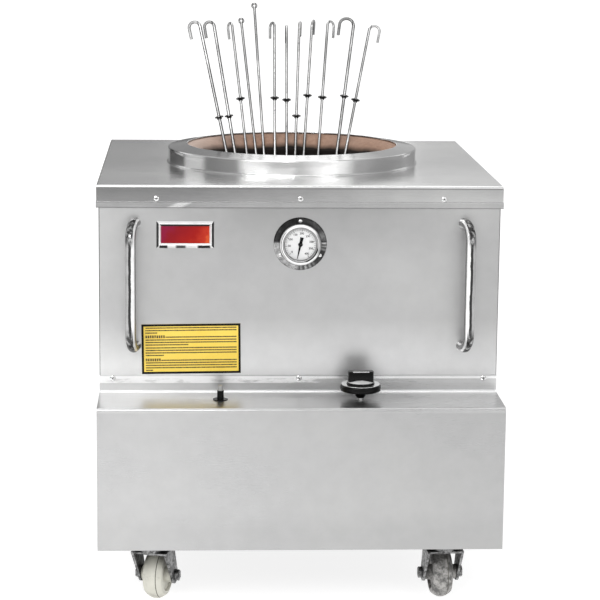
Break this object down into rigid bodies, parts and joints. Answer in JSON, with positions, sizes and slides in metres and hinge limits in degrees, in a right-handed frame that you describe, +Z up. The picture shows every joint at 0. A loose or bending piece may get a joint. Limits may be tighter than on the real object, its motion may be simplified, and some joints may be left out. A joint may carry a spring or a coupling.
{
  "type": "tandoor oven",
  "caption": "Gas tandoor oven on casters: a clay pot in an insulated square steel cabinet, with a front control ledge, thermometer, handles and leaning skewers.",
  "frame": {"origin": "on the floor, under the middle of the outline from the control box's apron to the end of the gas inlet pipe", "axes": "+Z up, +Y to the back, +X to the right seen from the front"},
  "size_m": [0.8252, 1.002, 1.1832],
  "materials": {
    "stainless_cover": "brushed stainless steel, worn",
    "stainless_ring": "polished stainless steel with fine turning marks",
    "stainless_panel": "brushed stainless steel with faint streaks",
    "stainless_box": "brushed stainless steel, brighter ledge",
    "clay": "fired clay, matte",
    "mineral_wool": "loose mineral wool",
    "handle_steel": "satin stainless tube",
    "frame_paint": "dark grey paint",
    "black_pipe": "black iron pipe",
    "valve_brass": "machined brass",
    "steel_tube": "bright steel",
    "cast_iron": "rough cast iron",
    "lead_silicone": "silicone sleeve",
    "copper_lead": "bare copper",
    "black_plastic": "black moulded plastic",
    "zinc_steel": "zinc plated",
    "dark_chrome": "mirror chrome",
    "bright_chrome": "mirror chrome",
    "dial_white": "white dial with plain numbers",
    "clear_glass": "clear flat glass",
    "badge_red": "red enamel",
    "notice_yellow": "yellow print with a black border",
    "screw_steel": "bright domed heads",
    "knob_black": "black moulded plastic",
    "knob_white": "bright ring",
    "button_tip": "grey push button",
    "needle_black": "matte black",
    "caster_steel": "speckled grey coat",
    "caster_cream": "cream moulded wheel",
    "skewer_steel": "round bright bar"
  },
  "bodies": {
    "oven": {"top_cover": "stainless_cover", "mouth_ring": "stainless_ring", "clay_pot": "clay", "insulation": "mineral_wool", "front_panel": "stainless_panel", "left_side_panel": "stainless_panel", "right_side_panel": "stainless_panel", "rear_panel": "stainless_panel", "left_handle": "handle_steel", "right_handle": "handle_steel", "base_frame": "frame_paint", "burner_deck": "frame_paint", "control_box_cover": "stainless_box", "gas_inlet_pipe": "black_pipe", "gas_valve_body": "valve_brass", "gas_manifold": "steel_tube", "burner": "cast_iron", "heat_deflector": "cast_iron", "pilot_burner": "steel_tube", "igniter_lead": "lead_silicone", "thermocouple_lead": "copper_lead", "igniter_body": "black_plastic", "igniter_nut": "zinc_steel", "thermometer_flange": "dark_chrome", "thermometer_case": "bright_chrome", "thermometer_dial": "dial_white", "thermometer_glass": "clear_glass", "badge_frame": "bright_chrome", "badge_plate": "badge_red", "notice_plate": "notice_yellow", "cabinet_screws": "screw_steel", "thermometer_screws": "screw_steel", "caster_plates": "zinc_steel", "caster_bolts": "zinc_steel"},
    "valve_stem": {"valve_stem": "steel_tube"},
    "knob": {"knob": "knob_black", "knob_ring": "knob_white"},
    "igniter_button": {"igniter_button": "button_tip"},
    "thermometer_needle": {"thermometer_needle": "needle_black"},
    "air_shutter": {"air_shutter": "zinc_steel"},
    "caster_fork_front_left": {"caster_fork_front_left": "caster_steel"},
    "caster_fork_front_right": {"caster_fork_front_right": "caster_steel"},
    "caster_fork_rear_left": {"caster_fork_rear_left": "caster_steel"},
    "caster_fork_rear_right": {"caster_fork_rear_right": "caster_steel"},
    "caster_wheel_front_left": {"caster_wheel_front_left": "caster_cream"},
    "caster_wheel_front_right": {"caster_wheel_front_right": "caster_cream"},
    "caster_wheel_rear_left": {"caster_wheel_rear_left": "caster_cream"},
    "caster_wheel_rear_right": {"caster_wheel_rear_right": "caster_cream"},
    "skewer_1": {"skewer_1": "skewer_steel"},
    "skewer_2": {"skewer_2": "skewer_steel"},
    "skewer_3": {"skewer_3": "skewer_steel"},
    "skewer_4": {"skewer_4": "skewer_steel"},
    "skewer_5": {"skewer_5": "skewer_steel"},
    "skewer_6": {"skewer_6": "skewer_steel"},
    "skewer_7": {"skewer_7": "skewer_steel"},
    "skewer_8": {"skewer_8": "skewer_steel"},
    "skewer_9": {"skewer_9": "skewer_steel"},
    "skewer_10": {"skewer_10": "skewer_steel"},
    "skewer_11": {"skewer_11": "skewer_steel"},
    "skewer_12": {"skewer_12": "skewer_steel"}
  },
  "joints": [
    {"name": "stem_push", "type": "slide", "parent": "oven", "child": "valve_stem", "axis": [0, 0, -1], "range_m": [0, 0.003], "stiffness_N_per_m": 1500, "springref_m": -0.004},
    {"name": "knob_turn", "type": "hinge", "parent": "valve_stem", "child": "knob", "pos_m": [0.121, -0.423, 0.45], "axis": [0, 0, 1], "range_deg": [0, 180]},
    {"name": "igniter_press", "type": "slide", "parent": "oven", "child": "igniter_button", "axis": [0, 0, -1], "range_m": [0, 0.006], "stiffness_N_per_m": 700, "springref_m": -0.004},
    {"name": "needle_turn", "type": "hinge", "parent": "oven", "child": "thermometer_needle", "pos_m": [0, -0.3619, 0.735], "axis": [0, 1, 0], "range_deg": [0, 300], "stiffness_Nm_per_rad": 0.004, "springref_deg": -5.73},
    {"name": "shutter_turn", "type": "hinge", "parent": "oven", "child": "air_shutter", "pos_m": [0, -0.2563, 0.251], "axis": [0, 1, 0], "range_deg": [-45, 45]},
    {"name": "swivel_front_left", "type": "hinge", "parent": "oven", "child": "caster_fork_front_left", "pos_m": [-0.298, -0.409, 0.12], "axis": [0, 0, 1], "continuous": true},
    {"name": "swivel_front_right", "type": "hinge", "parent": "oven", "child": "caster_fork_front_right", "pos_m": [0.298, -0.409, 0.12], "axis": [0, 0, 1], "continuous": true},
    {"name": "swivel_rear_left", "type": "hinge", "parent": "oven", "child": "caster_fork_rear_left", "pos_m": [-0.298, 0.369, 0.12], "axis": [0, 0, 1], "continuous": true},
    {"name": "swivel_rear_right", "type": "hinge", "parent": "oven", "child": "caster_fork_rear_right", "pos_m": [0.298, 0.369, 0.12], "axis": [0, 0, 1], "continuous": true},
    {"name": "roll_front_left", "type": "hinge", "parent": "caster_fork_front_left", "child": "caster_wheel_front_left", "pos_m": [-0.28747, -0.37457, 0.051], "axis": [0.9563, -0.2924, 0], "continuous": true},
    {"name": "roll_front_right", "type": "hinge", "parent": "caster_fork_front_right", "child": "caster_wheel_front_right", "pos_m": [0.29549, -0.37309, 0.051], "axis": [0.9976, 0.0698, 0], "continuous": true},
    {"name": "roll_rear_left", "type": "hinge", "parent": "caster_fork_rear_left", "child": "caster_wheel_rear_left", "pos_m": [-0.30425, 0.40445, 0.051], "axis": [0.9848, 0.1736, 0], "continuous": true},
    {"name": "roll_rear_right", "type": "hinge", "parent": "caster_fork_rear_right", "child": "caster_wheel_rear_right", "pos_m": [0.30176, 0.4048, 0.051], "axis": [0.9945, -0.1045, 0], "continuous": true},
    {"name": "lift_skewer_1", "type": "slide", "parent": "oven", "child": "skewer_1", "axis": [-0.2034, 0.2648, 0.9426], "range_m": [0, 0.6]},
    {"name": "lift_skewer_2", "type": "slide", "parent": "oven", "child": "skewer_2", "axis": [-0.1593, 0.2851, 0.9452], "range_m": [0, 0.6]},
    {"name": "lift_skewer_3", "type": "slide", "parent": "oven", "child": "skewer_3", "axis": [-0.1068, 0.3707, 0.9226], "range_m": [0, 0.6]},
    {"name": "lift_skewer_4", "type": "slide", "parent": "oven", "child": "skewer_4", "axis": [-0.1033, 0.3625, 0.9263], "range_m": [0, 0.6]},
    {"name": "lift_skewer_5", "type": "slide", "parent": "oven", "child": "skewer_5", "axis": [-0.059, 0.3495, 0.9351], "range_m": [0, 0.6]},
    {"name": "lift_skewer_6", "type": "slide", "parent": "oven", "child": "skewer_6", "axis": [0.0013, 0.3342, 0.9425], "range_m": [0, 0.6]},
    {"name": "lift_skewer_7", "type": "slide", "parent": "oven", "child": "skewer_7", "axis": [0.0083, 0.3758, 0.9267], "range_m": [0, 0.6]},
    {"name": "lift_skewer_8", "type": "slide", "parent": "oven", "child": "skewer_8", "axis": [0.038, 0.3366, 0.9409], "range_m": [0, 0.6]},
    {"name": "lift_skewer_9", "type": "slide", "parent": "oven", "child": "skewer_9", "axis": [0.0702, 0.357, 0.9315], "range_m": [0, 0.6]},
    {"name": "lift_skewer_10", "type": "slide", "parent": "oven", "child": "skewer_10", "axis": [0.0814, 0.3671, 0.9266], "range_m": [0, 0.6]},
    {"name": "lift_skewer_11", "type": "slide", "parent": "oven", "child": "skewer_11", "axis": [0.1364, 0.3032, 0.9431], "range_m": [0, 0.6]},
    {"name": "lift_skewer_12", "type": "slide", "parent": "oven", "child": "skewer_12", "axis": [0.1976, 0.3286, 0.9236], "range_m": [0, 0.6]}
  ]
}
